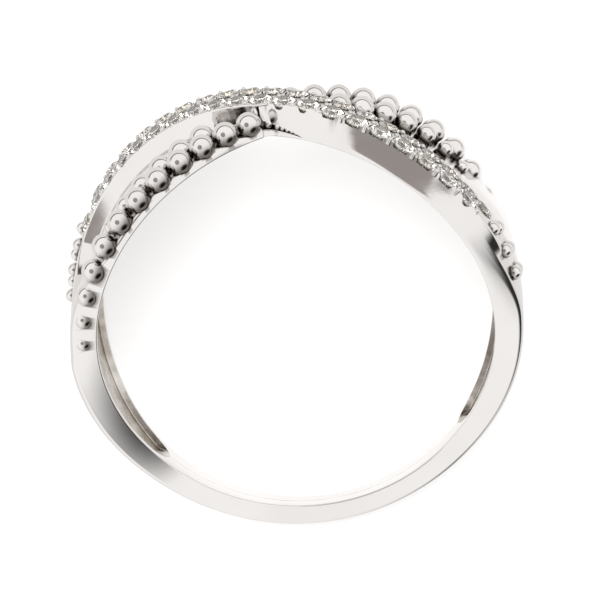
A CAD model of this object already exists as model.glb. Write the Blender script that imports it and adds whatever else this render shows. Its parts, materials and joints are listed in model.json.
"""Looks of the crossover ring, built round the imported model.

Two pieces stand for the CAD nodes: the polished band with its beads, seats and claws, and the cut stones.
Lengths are millimetres in this file and metres in Blender. An angle is in degrees, counted from the
middle of the head, and grows to the right. The near side is the side of the camera.
"""

import json
import math

import bmesh
import bpy
import numpy as np
from mathutils import Matrix, Vector


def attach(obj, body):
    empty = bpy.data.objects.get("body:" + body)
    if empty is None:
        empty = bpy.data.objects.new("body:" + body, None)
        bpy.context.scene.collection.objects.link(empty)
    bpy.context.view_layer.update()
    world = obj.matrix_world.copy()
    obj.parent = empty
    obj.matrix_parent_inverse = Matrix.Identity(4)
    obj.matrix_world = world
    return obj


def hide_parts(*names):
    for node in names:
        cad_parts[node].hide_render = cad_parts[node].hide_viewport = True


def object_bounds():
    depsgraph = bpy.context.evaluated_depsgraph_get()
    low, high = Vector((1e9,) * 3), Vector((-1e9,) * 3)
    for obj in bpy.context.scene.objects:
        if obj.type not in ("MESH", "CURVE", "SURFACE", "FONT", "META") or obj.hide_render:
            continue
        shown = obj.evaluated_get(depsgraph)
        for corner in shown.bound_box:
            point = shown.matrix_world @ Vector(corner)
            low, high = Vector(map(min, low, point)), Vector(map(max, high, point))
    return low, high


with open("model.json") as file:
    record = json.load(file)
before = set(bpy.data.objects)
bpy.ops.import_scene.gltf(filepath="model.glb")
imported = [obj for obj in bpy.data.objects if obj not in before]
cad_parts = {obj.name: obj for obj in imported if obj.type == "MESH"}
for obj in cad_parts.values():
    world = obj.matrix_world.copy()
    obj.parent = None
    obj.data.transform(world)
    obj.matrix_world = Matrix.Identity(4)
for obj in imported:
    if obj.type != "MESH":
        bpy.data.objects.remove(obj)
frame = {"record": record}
cad_box = [list(corner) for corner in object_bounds()]

# The ring's sizes, as in its source
BORE_R = 8.5
SHANK_W, SHANK_T, SIDE_T, CORNER = 1.25, 0.9, 1.25, 0.16
STRAND_W, SWING = 2.3, 3.2
BEAD_BASE_R = BORE_R + 0.5
SETTING_T, SHOULDER_DROP, VALLEY_T = 1.3, 0.2, 0.5
SIDE_LEAN, BEVEL = 0.12, 0.06
BEAD_D, BEAD_GAP, BEAD_ROWS, BEAD_OVERHANG = 1.1, 0.04, 1.3, 0.33
BEAD_SHRINK, INNER_SHRINK, END_BEAD_D, END_STEPS = 0.4, 0.5, 0.64, 3
STONE_D, STONE_GAP, STONE_ROWS, STONES = 1.03, 0.12, 1.18, 20
SEAT_GAP, CLAW_D = 0.03, 0.24
HOLLOW_T, RIM_W = 0.3, 0.3

WIDEST_A, MERGED_A, SHANK_FROM_A, BEAD_END_A, HOLLOW_END_A = 55, 141, 110, 88, 132
THIN_FROM_A, THIN_A = 85, 160
SWELL_FROM_A, SWELL_END_A = 50, 80
FIRST_BEAD_A, FIRST_INSIDE_A, INSIDE_SHRINK_A, LAST_INSIDE_A = 8.1, 12, 30, 62
STEP_A = 2.2
GROOVE_END_A = 9

MIDDLE_R = BORE_R + SIDE_T
BEAD_R = BEAD_BASE_R + 0.22 * BEAD_D
BEAD_SINK = 0.13 * BEAD_D
END_BEAD_R = MIDDLE_R + 0.05 * END_BEAD_D
SETTING_R = BORE_R + SETTING_T
CROWN_H, GIRDLE_H, PAVILION_H, TABLE_D = 0.16 * STONE_D, 0.04 * STONE_D, 0.43 * STONE_D, 0.56 * STONE_D
GIRDLE_R = SETTING_R + 0.22 * PAVILION_H
CLAW_ROW = STONE_ROWS / 2 + 0.38 * STONE_D
STONE_LEAN = 10
SEAT_WALL, LIP = 0.12, 0.15
WALL_FOOT = 0.22

# The near wall of the stone strand leans in between two angles, from a low height up
WALL_LEAN, LIP_LEAN, LEAN_START = 0.17, 0.06, 0.2
LEAN_FROM_A, LEAN_IN_A, LEAN_TO_A, LEAN_OUT_A = 12, 6, 46, 10
# The corners of that wall above the finger hole, where the groove has ended
SIDE_HEIGHTS = (0.2, 0.34, 0.6, 0.8)
# The groove under the stone strand at the crossing: its depth, its lower edge and its height
GROOVE_DEPTH, GROOVE_LOW, GROOVE_FALL, GROOVE_H, GROOVE_END_H = 0.36, 0.32, 0.24, 0.44, 0.02
# How far the bead strand's wall stands back under the beads, and over how many degrees that begins
TUCK, TUCK_RUN_A = 0.16, 8
# The rounded end of the stone strand's wall
POST_A, POST_R, POST_BEVEL = 1.3, 0.16, 0.1
# Degrees from one section of the swept metal to the next, and the angle from which an edge is sharp
SWEEP_A, SHARP_A = 0.75, 32
FLOOR_Z = cad_box[0][2]


def ease(t):
    """A smooth step from 0 to 1."""
    t = min(1.0, max(0.0, t))
    return t * t * (3 - 2 * t)


def mix(p, q, t):
    """The value a share t of the way from p to q."""
    return p + (q - p) * t


def swing_at(a):
    """How far a strand's middle stands to the side at the angle a."""
    if a <= WIDEST_A:
        return SWING * math.sin(math.radians(90 * a / WIDEST_A))
    if a < MERGED_A:
        return SWING * (1 + math.cos(math.pi * (a - WIDEST_A) / (MERGED_A - WIDEST_A))) / 2
    return 0.0


def slope_at(a):
    """The angle between a strand and the ring's round, in radians."""
    return math.atan((swing_at(a + 0.5) - swing_at(a - 0.5)) * 180 / math.pi / MIDDLE_R)


def half_w(a):
    """Half the width of a strand, measured along the finger."""
    share = ease((a - SHANK_FROM_A) / (180 - SHANK_FROM_A))
    return mix(STRAND_W, SHANK_W, share) / 2 / math.cos(slope_at(a))


def outer_r(a):
    """Radius of the plain part of the band."""
    return BORE_R + mix(SIDE_T, SHANK_T, ease((a - THIN_FROM_A) / (THIN_A - THIN_FROM_A)))


def swell(a):
    """How far the metal has risen round the beads, as a share."""
    return ease((a - SWELL_FROM_A) / (SWELL_END_A - SWELL_FROM_A))


def drop_at(a):
    """How much lower the stones lie than at the crossing."""
    return SHOULDER_DROP * ease(a / WIDEST_A)


def next_a(a, length, r):
    """The angle reached from a by going a length along a strand's middle line."""
    return a + length * math.cos(slope_at(abs(a))) * 180 / math.pi / r


def walk(n, length, r):
    """The angle reached from the head by n such steps."""
    a = 0.0
    for _ in range(n):
        a = next_a(a, length, r)
    return a


PITCH = STONE_D + STONE_GAP
SETTING_END_A = walk(STONES // 2, PITCH, GIRDLE_R) + 3
SMOOTH_A = max(BEAD_END_A + 4, SETTING_END_A + 12)


def place_matrix():
    """From the ring's own frame, with its hole along Z, to the frame of the row, as the ring lies."""
    body = frame["record"]["mounts"][0]["axis"]
    return Matrix.Rotation(math.atan2(-body[1], body[2]), 4, "X")


PLACE = place_matrix()


def at(phi, r, z):
    """A point of the ring's own frame."""
    p = math.radians(phi)
    return (r * math.sin(p), r * math.cos(p), z)


def bead_half(a):
    """Near half of the section where the near strand is the one with beads, from the inner edge up."""
    edge = swing_at(a) + half_w(a)
    wall = -swing_at(a) + half_w(a)
    tuck = TUCK * (1 - ease((a - STEP_A) / TUCK_RUN_A))
    apart = 2 * swing_at(a)
    bare = ease((apart - 2 * SIDE_LEAN) / half_w(a))
    opening = ease((apart - 2 * half_w(a) + 0.5) / 1.5)
    thick = mix(SETTING_T + LIP - drop_at(a), SIDE_T, ease((a - SETTING_END_A) / 6))
    base = mix(BEAD_BASE_R, MIDDLE_R - BEVEL, swell(a))
    foot = max(edge - 0.24, wall - 0.05) - tuck
    inside = min(max(edge - 2 * half_w(a) + 0.1, wall - 0.02), foot - 0.04)
    wall_foot = min(wall + WALL_FOOT * opening, inside - 0.02)
    valley_r = mix(BORE_R + 0.74 * thick, BORE_R + VALLEY_T, opening)
    return [
        (edge - tuck * 0.4, BORE_R, 0.06),
        (edge - tuck, base - 0.16, 0.1),
        (foot, base, 0.12),
        (inside, mix(BORE_R + 0.62 * thick, base, bare), 0.1),
        (wall_foot, valley_r, 0.12),
        (wall, BORE_R + thick - BEVEL, 0.05),
        (wall - BEVEL, BORE_R + thick, 0.05),
    ]


def stone_half(phi):
    """Near half of the section where the near strand is the one with stones, from the inner edge up."""
    a = max(0.0, phi)
    edge = swing_at(a) + half_w(a)
    thick = mix(SETTING_T + LIP - drop_at(a), SIDE_T, ease((a - SETTING_END_A) / 6))
    along = min(1.0, max(0.0, (phi + STEP_A) / (GROOVE_END_A + STEP_A)))
    depth = GROOVE_DEPTH * (1 - along ** 1.6)
    low, high = groove(phi)
    past = ease((phi - GROOVE_END_A) / 12)
    heights = [low, low + 0.03 + 0.04 * (1 - along), high - 0.03, high]
    heights = [mix(h, BORE_R + s, past) for h, s in zip(heights, SIDE_HEIGHTS)]
    if heights[2] < heights[1]:
        heights[1] = heights[2] = (heights[0] + heights[3]) / 2
    leaning = ease((phi - LEAN_FROM_A) / LEAN_IN_A) * (1 - ease((phi - LEAN_TO_A) / LEAN_OUT_A))
    lean = LIP_LEAN + (WALL_LEAN - LIP_LEAN) * leaning

    def wall(r):
        """Where the wall stands at a radius."""
        return edge - lean * max(0.0, r - BORE_R - LEAN_START)

    top = BORE_R + thick
    return [
        (edge, BORE_R, 0.06),
        (wall(heights[0]), heights[0], 0.05),
        (wall(heights[1]) - depth, heights[1], 0.03),
        (wall(heights[2]) - depth, heights[2], 0.03),
        (wall(heights[3]), heights[3], 0.05),
        (wall(top - BEVEL), top - BEVEL, 0.05),
        (wall(top) - BEVEL, top, 0.05),
    ]


def shank_half(a):
    """Near half of the plain shank's section, from the inner edge up."""
    h, r, c = swing_at(a) + half_w(a), outer_r(a), CORNER
    return [
        (h, BORE_R, 0.06),
        (h, r - 1.8 * c, 0.08),
        (h, r - c, 0.1),
        (h - 0.3 * c, r - 0.3 * c, 0.06),
        (h - c, r, 0.1),
        (0.6 * h, r + 0.12 * c, 0.3),
        (0.25 * h, r + 0.2 * c, 0.3),
    ]


def near_half(phi):
    """Near half of the section at any angle. The far half is the same, half a turn about the head away."""
    strand = bead_half(-phi) if phi < -STEP_A else stone_half(phi)
    a = abs(phi)
    t = ease((a - SETTING_END_A) / (SMOOTH_A - SETTING_END_A))
    if t == 0:
        return strand
    return [tuple(mix(p, q, t) for p, q in zip(one, other)) for one, other in zip(strand, shank_half(a))]


def hollow_half(a):
    """Half the width of the hollow inside the band."""
    w = swing_at(a) + half_w(a) - RIM_W
    left_over = math.radians(HOLLOW_END_A - a) * BORE_R
    if left_over <= 0:
        return 0.02
    return max(0.02, w * math.sqrt(max(0.0, 1 - max(0.0, 1 - left_over / w) ** 2)))


def section(phi):
    """All corners of the section at an angle, as (z, r, rounding), round from the near inner edge."""
    near = near_half(phi)
    far = [(-z, r, c) for z, r, c in reversed(near_half(-phi))]
    a = abs(phi)
    w = hollow_half(a)
    depth = max(0.001, HOLLOW_T * ease((HOLLOW_END_A - a) / 4)) if w > 0.02 else 0.001
    inside = [
        (-w, BORE_R, 0.02),
        (-w * 0.97, BORE_R + depth, 0.08),
        (w * 0.97, BORE_R + depth, 0.08),
        (w, BORE_R, 0.02),
    ]
    return near + far + inside


# Steps of the curve that rounds a corner
ARC = 4


def rounded(corners):
    """The section's outline with each corner rounded by a short curve."""
    pts = []
    n = len(corners)
    for i, (z, r, c) in enumerate(corners):
        p = np.array((z, r))
        before = np.array(corners[i - 1][:2]) - p
        after = np.array(corners[(i + 1) % n][:2]) - p
        lb, la = np.linalg.norm(before), np.linalg.norm(after)
        s = p + before * min(c / max(lb, 1e-6), 0.45)
        e = p + after * min(c / max(la, 1e-6), 0.45)
        for k in range(ARC + 1):
            t = k / ARC
            pts.append((1 - t) ** 2 * s + 2 * t * (1 - t) * p + t * t * e)
    return pts


def make_object(name, verts, faces):
    """An object from points in millimetres of the ring's own frame."""
    mesh = bpy.data.meshes.new(name)
    mesh.from_pydata([PLACE @ (Vector(v) * 0.001) for v in verts], [], faces)
    mesh.validate()
    obj = bpy.data.objects.new(name, mesh)
    bpy.context.scene.collection.objects.link(obj)
    return obj


def make_body():
    """The band's smooth metal, swept round the finger."""
    half = [SWEEP_A * (i + 0.5) for i in range(int(180 / SWEEP_A))]
    half = sorted(half + [STEP_A - 0.06, STEP_A + 0.06])
    angles = [-a for a in reversed(half)] + half
    verts = []
    for phi in angles:
        outline = rounded(section(phi))
        verts += [at(phi, r, z) for z, r in outline]
    m, n = len(outline), len(angles)
    faces = [
        (i * m + j, i * m + (j + 1) % m, (i + 1) % n * m + (j + 1) % m, (i + 1) % n * m + j)
        for i in range(n) for j in range(m)
    ]
    obj = make_object("band_metal", verts, faces)
    obj.data.materials.append(white_gold())
    obj.data.materials.append(cast_inside())
    bm = bmesh.new()
    bm.from_mesh(obj.data)
    bmesh.ops.recalc_face_normals(bm, faces=bm.faces)
    hollow_from = 14 * (ARC + 1) + ARC
    for f in bm.faces:
        if all(hollow_from <= v.index % m <= m - ARC for v in f.verts):
            f.material_index = 1
    bm.to_mesh(obj.data)
    bm.free()
    return obj


def ball(centre, d, across=28, down=14):
    """Points and faces of a round ball whose pole points away from the finger."""
    c = Vector(centre)
    up = Vector((c.x, c.y, 0)).normalized()
    side = Vector((0, 0, 1))
    third = up.cross(side)
    verts = [c + up * d / 2]
    for i in range(1, down):
        t = math.pi * i / down
        for j in range(across):
            p = 2 * math.pi * j / across
            ring = side * math.cos(p) + third * math.sin(p)
            verts.append(c + (up * math.cos(t) + ring * math.sin(t)) * d / 2)
    verts.append(c - up * d / 2)
    last = len(verts) - 1
    faces = [(0, 1 + (j + 1) % across, 1 + j) for j in range(across)]
    for i in range(down - 2):
        for j in range(across):
            k = (j + 1) % across
            one, other = 1 + i * across, 1 + (i + 1) * across
            faces.append((one + j, one + k, other + k, other + j))
    base = 1 + (down - 2) * across
    faces += [(base + j, base + (j + 1) % across, last) for j in range(across)]
    return verts, faces


def lathe(profile, sides, matrix):
    """Points and faces of a turned solid. The profile runs from the lower axis point to the upper one."""
    verts = [matrix @ Vector((0, 0, profile[0][1]))]
    for r, h in profile[1:-1]:
        for j in range(sides):
            p = 2 * math.pi * j / sides
            verts.append(matrix @ Vector((r * math.cos(p), r * math.sin(p), h)))
    verts.append(matrix @ Vector((0, 0, profile[-1][1])))
    last = len(verts) - 1
    rows = len(profile) - 2
    faces = [(0, 1 + (j + 1) % sides, 1 + j) for j in range(sides)]
    for i in range(rows - 1):
        for j in range(sides):
            k = (j + 1) % sides
            one, other = 1 + i * sides, 1 + (i + 1) * sides
            faces.append((one + j, one + k, other + k, other + j))
    base = 1 + (rows - 1) * sides
    faces += [(base + j, base + (j + 1) % sides, last) for j in range(sides)]
    return verts, faces


def join(parts):
    """One list of points and faces from several."""
    verts, faces = [], []
    for v, f in parts:
        n = len(verts)
        verts += [tuple(p) for p in v]
        faces += [tuple(i + n for i in face) for face in f]
    return verts, faces


def bead_list():
    """The angles at which beads stand along their strand."""
    places = []
    a = FIRST_BEAD_A
    while a <= BEAD_END_A:
        places.append(a)
        a = next_a(a, BEAD_D + BEAD_GAP, BEAD_R)
    return places


def inner_list():
    """The angles of the inner beads, half a step on from the outer ones."""
    outer = bead_list()
    halfway = [(a + b) / 2 for a, b in zip(outer, outer[1:])]
    return [a for a in halfway if FIRST_INSIDE_A < a < LAST_INSIDE_A]


def beads(row):
    """The beads of one row on both sides of the head, row 1 on the outside and -1 inside."""
    parts = []
    for a in bead_list() if row > 0 else inner_list():
        if row > 0:
            share = 1 - BEAD_SHRINK * ease((a - WIDEST_A) / (BEAD_END_A - WIDEST_A))
            offset = STRAND_W / 2 + BEAD_OVERHANG * share ** 2 - BEAD_D * share / 2
        else:
            share = 1 - INNER_SHRINK * ease((a - INSIDE_SHRINK_A) / (LAST_INSIDE_A - INSIDE_SHRINK_A))
            offset = STRAND_W / 2 + BEAD_OVERHANG - BEAD_D / 2 - BEAD_ROWS
        turn = slope_at(a)
        phi = a - offset * math.sin(turn) * 180 / math.pi / BEAD_R
        z = swing_at(a) + offset * math.cos(turn)
        height = BEAD_R - BEAD_SINK * swell(a)
        parts += [ball(at(side * phi, height, -side * z), BEAD_D * share) for side in (-1, 1)]
    return parts


def end_beads(row):
    """The small beads that go on where a row of stones ends, row 1 along the ring's edge."""
    parts = []
    for side in (-1, 1):
        for k in range(1, END_STEPS + 1):
            steps = side * (STONES / 2 + k - (0.5 if row > 0 else 0))
            place = on_setting(steps, side * row * STONE_ROWS / 2, END_BEAD_R + SHOULDER_DROP, 0)
            parts.append(ball(place.translation, END_BEAD_D, 24, 12))
    return parts


# The chain of shrinking beads in the groove under the stone strand's wall, by angle and diameter
CHAIN = [(-0.3, 0.45), (2.1, 0.27), (3.5, 0.23), (4.8, 0.2), (6.0, 0.17), (7.1, 0.14), (8.1, 0.11)]


def groove(phi):
    """Lower and upper radius of the groove at an angle."""
    along = min(1.0, max(0.0, (phi + STEP_A) / (GROOVE_END_A + STEP_A)))
    low = BORE_R + GROOVE_LOW - GROOVE_FALL * along ** 1.5
    return low, low + mix(GROOVE_H, GROOVE_END_H, along ** 0.6)


def chain_beads():
    """The chain's beads on both sides of the ring."""
    parts = []
    for side in (-1, 1):
        for phi, size in CHAIN:
            low, high = groove(phi)
            z = swing_at(max(0.0, phi)) + half_w(abs(phi)) - 0.02 - 0.3 * size
            r = max(low + size / 2, (low + high) / 2)
            parts.append(ball(at(-side * phi, r, -side * z), size, 20, 10))
    return parts


def on_setting(steps, offset, r, lean):
    """The frame of a place on the stone strand, some steps from the head and offset across the strand."""
    side = -1 if steps < 0 else 1
    before = walk(math.floor(abs(steps)), PITCH, GIRDLE_R)
    after = walk(math.ceil(abs(steps)), PITCH, GIRDLE_R)
    a = (before + after) / 2
    turn = slope_at(a)
    phi = side * a - offset * math.sin(turn) * 180 / math.pi / GIRDLE_R
    z = side * swing_at(a) + offset * math.cos(turn)
    tilt = -90 + lean * (0 if offset == 0 else math.copysign(1, offset))
    return (Matrix.Rotation(math.radians(-phi), 4, "Z") @ Matrix.Translation((0, r - drop_at(a), z))
            @ Matrix.Rotation(math.radians(tilt), 4, "X"))


def first_step(row):
    """Where a row of stones starts, in steps from the middle of the head."""
    return -STONES / 2 if row > 0 else 1 - STONES / 2


def stone_frames():
    """The frames of all stones, by row and number."""
    return [on_setting(first_step(row) + k, row * STONE_ROWS / 2, GIRDLE_R, STONE_LEAN)
            for row in (1, -1) for k in range(STONES)]


def seats():
    """The seats that the stones sit in: a cone below the girdle and a short straight wall above."""
    depth = PAVILION_H + SEAT_GAP
    low = -depth - GIRDLE_H / 2
    rim = STONE_D / 2 + SEAT_GAP
    profile = [
        (0, low),
        (SEAT_GAP, low),
        (rim - 0.06, -SEAT_WALL),
        (rim, -SEAT_WALL),
        (rim + 0.01, 0.25),
        (0, 0.25),
    ]
    return [lathe(profile, 32, m) for m in stone_frames()]


def claws():
    """Small round-headed claws between neighbouring stones."""
    parts = []
    root = SETTING_R - 0.1
    tip = GIRDLE_R + 0.95 * CROWN_H - root
    r = CLAW_D / 2
    dome = [(r * math.cos(t), tip - r + r * math.sin(t)) for t in (0.0, 0.35, 0.7, 1.05, 1.35)]
    profile = [(0, 0), (r, 0)] + dome + [(0, tip)]
    for line in (-1, 0, 1):
        for k in range(STONES + 1):
            steps = first_step(line) + k - 0.5
            if line != 0 or abs(steps) < STONES / 2:
                parts.append(lathe(profile, 16, on_setting(steps, line * CLAW_ROW, root, 0)))
    return parts


def post():
    """The rounded end of the stone strand's wall, on both sides of the ring."""
    parts = []
    for side in (-1, 1):
        phi = side * (STEP_A + POST_A)
        z = -side * (half_w(0) - 0.1)
        low, high = BORE_R + 0.3, SETTING_R - 0.02
        upright = Matrix.Translation((0, low, z)) @ Matrix.Rotation(-math.pi / 2, 4, "X")
        top = high - low
        profile = [
            (0, 0),
            (POST_R * 0.7, 0),
            (POST_R, POST_BEVEL),
            (POST_R, top - POST_BEVEL),
            (POST_R * 0.7, top),
            (0, top),
        ]
        parts.append(lathe(profile, 24, Matrix.Rotation(math.radians(-phi), 4, "Z") @ upright))
    return parts


def apply_modifiers(obj):
    """Writes the result of an object's modifiers into its mesh."""
    bpy.context.view_layer.update()
    graph = bpy.context.evaluated_depsgraph_get()
    result = bpy.data.meshes.new_from_object(obj.evaluated_get(graph))
    obj.modifiers.clear()
    old = obj.data
    obj.data = result
    bpy.data.meshes.remove(old)


def face_outward(obj):
    """Turns all faces of closed solids outward."""
    bm = bmesh.new()
    bm.from_mesh(obj.data)
    bmesh.ops.recalc_face_normals(bm, faces=bm.faces)
    bm.to_mesh(obj.data)
    bm.free()


def combine(obj, parts, operation, name):
    """Adds or cuts solids that are clear of each other, and applies the result to the mesh."""
    tool = make_object(name, *join(parts))
    tool.data.materials.append(obj.data.materials[0])
    face_outward(tool)
    mod = obj.modifiers.new(name, "BOOLEAN")
    mod.operation = operation
    mod.object = tool
    mod.solver = "MANIFOLD"
    apply_modifiers(obj)
    mesh = tool.data
    bpy.data.objects.remove(tool)
    bpy.data.meshes.remove(mesh)


def shade(obj, sharp_deg):
    """Smooth shading, sharp where two faces meet at more than an angle, with large faces kept flat."""
    bm = bmesh.new()
    bm.from_mesh(obj.data)
    bmesh.ops.remove_doubles(bm, verts=bm.verts, dist=2e-7)
    for f in bm.faces:
        f.smooth = True
    limit = math.radians(sharp_deg)
    for e in bm.edges:
        e.smooth = len(e.link_faces) == 2 and e.calc_face_angle(0) < limit
    bm.to_mesh(obj.data)
    bm.free()
    mod = obj.modifiers.new("flat_faces_keep_flat", "WEIGHTED_NORMAL")
    mod.keep_sharp = True
    apply_modifiers(obj)


def soil_beads(obj, parts):
    """Marks how much soil each point of a bead holds: most at its foot, none on top."""
    mesh = obj.data
    points = np.empty(len(mesh.vertices) * 3)
    mesh.vertices.foreach_get("co", points)
    points = points.reshape(-1, 3)
    soil = np.zeros(len(points))
    for verts, _ in parts:
        top, foot = (np.array(PLACE @ (Vector(p) * 0.001)) for p in (verts[0], verts[-1]))
        centre, r = (top + foot) / 2, np.linalg.norm(top - foot) / 2
        away = points - centre
        on_it = np.linalg.norm(away, axis=1) < 1.03 * r
        height = away[on_it] @ (top - centre) / r ** 2
        share = np.clip((CLEAN_H - height) / (CLEAN_H - SOILED_H), 0, 1)
        soil[on_it] = np.maximum(soil[on_it], share * share * (3 - 2 * share))
    stored = mesh.color_attributes.new(name="soil", type="FLOAT_COLOR", domain="POINT")
    stored.data.foreach_set("color", np.repeat(soil, 4).astype(np.float32))


def ring_of(count, radius, height, shift=0.0):
    """Points evenly round a stone's axis, turned on by a share of a step."""
    angles = (2 * math.pi * (i + shift) / count for i in range(count))
    return [(radius * math.cos(p), radius * math.sin(p), height) for p in angles]


def brilliant():
    """Points and faces of a round brilliant: table, stars, kites, girdle and pavilion."""
    r, t = STONE_D / 2, TABLE_D / 2
    top, low = GIRDLE_H / 2, -GIRDLE_H / 2
    table = ring_of(8, t, top + CROWN_H, 0.5)
    mid = ring_of(8, mix(t, r, 0.5), top + CROWN_H * 0.56)
    rim = [ring_of(16, r, h) for h in (top, low)]
    waist = ring_of(8, r * 0.2, low - PAVILION_H * 0.78, 0.5)
    verts = table + mid + rim[0] + rim[1] + waist + [(0, 0, low - PAVILION_H)]
    # Where each ring of points starts: table, middle, upper and lower girdle, waist and culet
    T, M, A, B, W, C = 0, 8, 16, 32, 48, 56
    faces = [tuple(range(8))]
    for i in range(8):
        j, b = (i + 1) % 8, (i - 1) % 8
        faces.append((T + b, M + i, T + i))
        g = 2 * i
        faces.append((M + i, A + g, A + (g + 1) % 16))
        faces.append((M + i, A + (g - 1) % 16, A + g))
        faces.append((T + i, M + i, A + (g + 1) % 16, M + j))
        faces.append((B + g, W + i, B + (g + 1) % 16))
        faces.append((B + (g + 1) % 16, W + i, B + (g + 2) % 16))
        faces.append((B + g, W + b, W + i))
        faces.append((W + i, W + b, C))
    for g in range(16):
        faces.append((A + g, B + g, B + (g + 1) % 16, A + (g + 1) % 16))
    return [Vector(v) for v in verts], faces


def make_stones():
    """All stones in one mesh, flat shaded."""
    verts, faces = brilliant()
    parts = []
    for k, m in enumerate(stone_frames()):
        turn = m @ Matrix.Rotation(math.radians(37 * k % 45), 4, "Z")
        parts.append(([turn @ v for v in verts], faces))
    obj = make_object("stones", *join(parts))
    face_outward(obj)
    return obj


def new_material(name):
    """A node material with only its output and its principled shader."""
    mat = bpy.data.materials.new(name)
    mat.use_nodes = True
    tree = mat.node_tree
    tree.nodes.clear()
    out = tree.nodes.new("ShaderNodeOutputMaterial")
    shader = tree.nodes.new("ShaderNodeBsdfPrincipled")
    tree.links.new(shader.outputs["BSDF"], out.inputs["Surface"])
    return mat, tree, shader


def noise(tree, scale, stretch=(1, 1, 1), detail=3.0):
    """A noise over the object's own coordinates, its grain in steps per metre."""
    coord = tree.nodes.new("ShaderNodeTexCoord")
    mapping = tree.nodes.new("ShaderNodeMapping")
    mapping.inputs["Scale"].default_value = stretch
    tree.links.new(coord.outputs["Object"], mapping.inputs["Vector"])
    tex = tree.nodes.new("ShaderNodeTexNoise")
    tex.inputs["Scale"].default_value = scale
    tex.inputs["Detail"].default_value = detail
    tree.links.new(mapping.outputs["Vector"], tex.inputs["Vector"])
    return tex


def ramp(tree, source, low, high, from_low=0.3, from_high=0.7):
    """Maps a value, such as a noise, to a range of values or colours."""
    node = tree.nodes.new("ShaderNodeMapRange") if isinstance(low, float) else None
    if node:
        node.inputs["From Min"].default_value = from_low
        node.inputs["From Max"].default_value = from_high
        node.inputs["To Min"].default_value = low
        node.inputs["To Max"].default_value = high
        tree.links.new(source, node.inputs["Value"])
        return node.outputs["Result"]
    node = tree.nodes.new("ShaderNodeValToRGB")
    node.color_ramp.elements[0].position = from_low
    node.color_ramp.elements[0].color = (*low, 1)
    node.color_ramp.elements[1].position = from_high
    node.color_ramp.elements[1].color = (*high, 1)
    tree.links.new(source, node.inputs["Fac"])
    return node.outputs["Color"]


# How far the soil in a crevice reaches from its walls, and its colour
CREVICE = 0.4
SOIL = (0.13, 0.11, 0.095)
# The heights on a bead, as shares of its radius, where the soil ends and where it is full
CLEAN_H, SOILED_H = 0.35, -0.45


def white_gold():
    """Polished white gold with a slight warmth, fine scratches and a little wear."""
    mat, tree, shader = new_material("white_gold")
    shader.inputs["Metallic"].default_value = 1.0
    cloud = noise(tree, 260, detail=4.0)
    clean = ramp(tree, cloud.outputs["Fac"], (0.83, 0.812, 0.795), (0.89, 0.876, 0.862))
    crevice = tree.nodes.new("ShaderNodeAmbientOcclusion")
    crevice.samples = 16
    crevice.inputs["Distance"].default_value = CREVICE * 0.001
    soiled = tree.nodes.new("ShaderNodeMix")
    soiled.data_type = "RGBA"
    soiled.inputs["A"].default_value = (*SOIL, 1)
    tree.links.new(clean, soiled.inputs["B"])
    foot = tree.nodes.new("ShaderNodeAttribute")
    foot.attribute_name = "soil"
    both = tree.nodes.new("ShaderNodeMath")
    both.operation = "MULTIPLY"
    tree.links.new(ramp(tree, crevice.outputs["AO"], 0.1, 1.0, 0.25, 0.8), both.inputs[0])
    tree.links.new(ramp(tree, foot.outputs["Fac"], 1.0, 0.1, 0.0, 1.0), both.inputs[1])
    tree.links.new(both.outputs["Value"], soiled.inputs["Factor"])
    tree.links.new(soiled.outputs["Result"], shader.inputs["Base Color"])
    fine = noise(tree, 1500, detail=2.0)
    tree.links.new(ramp(tree, fine.outputs["Fac"], 0.05, 0.13), shader.inputs["Roughness"])
    scratch = noise(tree, 700, (1.0, 14.0, 14.0), 2.0)
    bump = tree.nodes.new("ShaderNodeBump")
    bump.inputs["Strength"].default_value = 0.05
    bump.inputs["Distance"].default_value = 0.00002
    tree.links.new(scratch.outputs["Fac"], bump.inputs["Height"])
    tree.links.new(bump.outputs["Normal"], shader.inputs["Normal"])
    return mat


def cast_inside():
    """The hollow's floor, left nearly as cast: duller, darker and a little brown."""
    mat, tree, shader = new_material("cast_inside")
    shader.inputs["Metallic"].default_value = 1.0
    cloud = noise(tree, 900, detail=4.0)
    mottled = ramp(tree, cloud.outputs["Fac"], (0.36, 0.32, 0.27), (0.78, 0.75, 0.71))
    tree.links.new(mottled, shader.inputs["Base Color"])
    fine = noise(tree, 2500, detail=3.0)
    tree.links.new(ramp(tree, fine.outputs["Fac"], 0.12, 0.34), shader.inputs["Roughness"])
    bump = tree.nodes.new("ShaderNodeBump")
    bump.inputs["Strength"].default_value = 0.4
    bump.inputs["Distance"].default_value = 0.00005
    tree.links.new(cloud.outputs["Fac"], bump.inputs["Height"])
    tree.links.new(bump.outputs["Normal"], shader.inputs["Normal"])
    return mat


def crystal():
    """A clear stone, a touch warm, that bends light as a diamond does."""
    mat, tree, shader = new_material("stone")
    island = tree.nodes.new("ShaderNodeNewGeometry")
    each = island.outputs["Random Per Island"]
    tint = ramp(tree, each, (0.93, 0.89, 0.80), (1.0, 0.985, 0.95), 0.0, 1.0)
    tree.links.new(tint, shader.inputs["Base Color"])
    shader.inputs["Roughness"].default_value = 0.02
    shader.inputs["IOR"].default_value = 2.2
    shader.inputs["Transmission Weight"].default_value = 0.95
    return mat


# Camera, fitted to the photograph in the ring's own frame
PX_PER_MM, DISTANCE = 23.147, 300.0
TURN, HEIGHT, ROLL = math.radians(2.981), math.radians(17.443), math.radians(-7.706)
CENTRE_PX = (297.107, 315.159)


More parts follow.
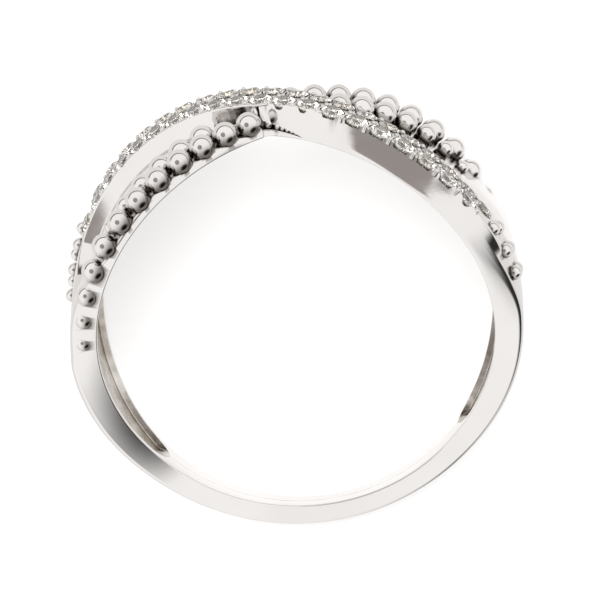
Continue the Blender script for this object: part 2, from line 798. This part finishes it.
def make_camera():
    """The camera at the photograph's angle and distance."""
    c = Vector((math.sin(TURN) * math.cos(HEIGHT), math.sin(HEIGHT), math.cos(TURN) * math.cos(HEIGHT)))
    right = Vector((0, 1, 0)).cross(c).normalized()
    up = c.cross(right)
    r2 = right * math.cos(ROLL) + up * math.sin(ROLL)
    u2 = -right * math.sin(ROLL) + up * math.cos(ROLL)
    place = c * DISTANCE - r2 * (CENTRE_PX[0] - 300) / PX_PER_MM - u2 * (300 - CENTRE_PX[1]) / PX_PER_MM
    turn = PLACE.to_3x3()
    r2, u2, c = turn @ r2, turn @ u2, turn @ c
    m = Matrix((r2, u2, c)).transposed().to_4x4()
    m.translation = turn @ place * 0.001
    data = bpy.data.cameras.new("camera")
    data.angle = 2 * math.atan(300 / (PX_PER_MM * DISTANCE))
    data.clip_start, data.clip_end = 0.01, 5
    camera = bpy.data.objects.new("camera", data)
    camera.matrix_world = m
    bpy.context.scene.collection.objects.link(camera)
    bpy.context.scene.camera = camera
    return r2, u2, c


# Dark and grey shapes round the studio that the metal mirrors, in the image's directions: right, up and
# towards the camera. A card is round, with its width and softness in degrees and its colour.
CARDS = [
    (-0.34, -0.06, 0.94, 19, 4, (0.34, 0.31, 0.3)),
    (0.66, -0.7, 0.27, 14, 26, (0.03, 0.028, 0.026)),
]
# The dark line low in the upper half of the studio, and the white of the rest
HORIZON = (0.08, 0.07, 0.065)
WHITE = (1.0, 0.99, 0.985)

# The floor's half side in metres, its greys, its glow, and what a long mirrored ray sees of it
FLOOR_HALF, FLOOR_GLOW = 0.6, 0.55
FLOOR_GREYS = (0.5, 0.5, 0.5), (0.52, 0.52, 0.52)
MIRRORED, MIRRORED_FROM, MIRRORED_TO = (0.74, 0.715, 0.7), (0.0015, 0.3), (0.005, 0.85)
# The lamp's sides and place in metres, and its watts
LAMP_SIZE, LAMP_PLACE, LAMP_W = (0.4, 0.3), (-0.03, 0.12, 0.4), 1.8


def make_world(axes):
    """A white studio with dark cards, placed by direction."""
    world = bpy.data.worlds.new("studio")
    world.use_nodes = True
    bpy.context.scene.world = world
    tree = world.node_tree
    tree.nodes.clear()
    out = tree.nodes.new("ShaderNodeOutputWorld")
    back = tree.nodes.new("ShaderNodeBackground")
    back.inputs["Strength"].default_value = 1.0
    tree.links.new(back.outputs["Background"], out.inputs["Surface"])
    coord = tree.nodes.new("ShaderNodeTexCoord")

    def toward(x, y, z):
        """How far each direction goes along one of the image's directions."""
        dot = tree.nodes.new("ShaderNodeVectorMath")
        dot.operation = "DOT_PRODUCT"
        dot.inputs[1].default_value = (axes[0] * x + axes[1] * y + axes[2] * z).normalized()
        tree.links.new(coord.outputs["Generated"], dot.inputs[0])
        return dot.outputs["Value"]

    def lay(value, start, end, tint, colour):
        """Lays a tint over a colour where a value goes from start to end."""
        mask = tree.nodes.new("ShaderNodeMapRange")
        mask.interpolation_type = "SMOOTHSTEP"
        mask.inputs["From Min"].default_value = start
        mask.inputs["From Max"].default_value = end
        tree.links.new(value, mask.inputs["Value"])
        blend = tree.nodes.new("ShaderNodeMix")
        blend.data_type = "RGBA"
        tree.links.new(mask.outputs["Result"], blend.inputs["Factor"])
        if isinstance(colour, tuple):
            blend.inputs["A"].default_value = (*colour, 1)
        else:
            tree.links.new(colour, blend.inputs["A"])
        blend.inputs["B"].default_value = (*tint, 1)
        return blend.outputs["Result"]

    colour = lay(toward(0, 0, 1), 0.22, 0.08, HORIZON, WHITE)
    colour = lay(toward(0, 1, 0), 0.35, -0.05, WHITE, colour)
    for x, y, z, width, soft, tint in CARDS:
        ends = math.cos(math.radians(width + soft)), math.cos(math.radians(width))
        colour = lay(toward(x, y, z), *ends, tint, colour)
    tree.links.new(colour, back.inputs["Color"])


def make_stage():
    """A pale floor at the height on which the ring lies, and a soft lamp that the metal doesn't mirror."""
    corners = [(x * FLOOR_HALF, y * FLOOR_HALF, FLOOR_Z) for x, y in ((-1, -1), (1, -1), (1, 1), (-1, 1))]
    mesh = bpy.data.meshes.new("floor")
    mesh.from_pydata(corners, [], [(0, 1, 2, 3)])
    floor = bpy.data.objects.new("floor", mesh)
    bpy.context.scene.collection.objects.link(floor)
    mat, tree, shader = new_material("floor")
    grain = noise(tree, 40)
    tree.links.new(ramp(tree, grain.outputs["Fac"], *FLOOR_GREYS), shader.inputs["Base Color"])
    shader.inputs["Roughness"].default_value = 0.6
    shader.inputs["Emission Color"].default_value = (1, 1, 1, 1)
    shader.inputs["Emission Strength"].default_value = FLOOR_GLOW
    path = tree.nodes.new("ShaderNodeLightPath")
    reach = tree.nodes.new("ShaderNodeMapRange")
    reach.inputs["From Min"].default_value, reach.inputs["To Min"].default_value = MIRRORED_FROM
    reach.inputs["From Max"].default_value, reach.inputs["To Max"].default_value = MIRRORED_TO
    tree.links.new(path.outputs["Ray Length"], reach.inputs["Value"])
    share = tree.nodes.new("ShaderNodeMath")
    share.operation = "MULTIPLY"
    tree.links.new(path.outputs["Is Glossy Ray"], share.inputs[0])
    tree.links.new(reach.outputs["Result"], share.inputs[1])
    dim = tree.nodes.new("ShaderNodeEmission")
    dim.inputs["Color"].default_value = (*MIRRORED, 1)
    mixed = tree.nodes.new("ShaderNodeMixShader")
    tree.links.new(share.outputs["Value"], mixed.inputs["Fac"])
    tree.links.new(shader.outputs["BSDF"], mixed.inputs[1])
    tree.links.new(dim.outputs["Emission"], mixed.inputs[2])
    out = next(node for node in tree.nodes if node.type == "OUTPUT_MATERIAL")
    tree.links.new(mixed.outputs["Shader"], out.inputs["Surface"])
    mesh.materials.append(mat)
    data = bpy.data.lights.new("softbox", "AREA")
    data.shape = "RECTANGLE"
    data.size, data.size_y = LAMP_SIZE
    data.energy = LAMP_W
    light = bpy.data.objects.new("softbox", data)
    light.location = LAMP_PLACE
    light.visible_glossy = False
    light.rotation_euler = (Vector((0, 0, 0)) - light.location).to_track_quat("-Z", "Y").to_euler()
    bpy.context.scene.collection.objects.link(light)


def make_ring():
    """The band and the stones, each standing for its CAD nodes."""
    body = make_body()
    combine(body, seats(), "DIFFERENCE", "seats")
    combine(body, beads(1), "UNION", "outer_beads")
    combine(body, beads(-1), "UNION", "inner_beads")
    combine(body, chain_beads()[::2], "UNION", "chain_1")
    combine(body, chain_beads()[1::2], "UNION", "chain_2")
    combine(body, end_beads(1), "UNION", "end_beads_1")
    combine(body, end_beads(-1), "UNION", "end_beads_2")
    combine(body, post(), "UNION", "wall_end")
    combine(body, claws(), "UNION", "claws")
    shade(body, SHARP_A)
    soil_beads(body, beads(1) + beads(-1) + chain_beads() + end_beads(1) + end_beads(-1))
    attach(body, "root")
    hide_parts("band")
    stones = make_stones()
    stones.data.materials.append(crystal())
    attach(stones, "root")
    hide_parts(*[f"stone_{row}_{k + 1}" for row in ("near", "far") for k in range(STONES)])


def set_view():
    """Plain colours without a film curve, so that the white floor stays white."""
    scene = bpy.context.scene
    scene.view_settings.view_transform = "Standard"
    scene.view_settings.look = "None"


make_ring()
make_world(make_camera())
make_stage()
set_view()
bpy.context.view_layer.update()
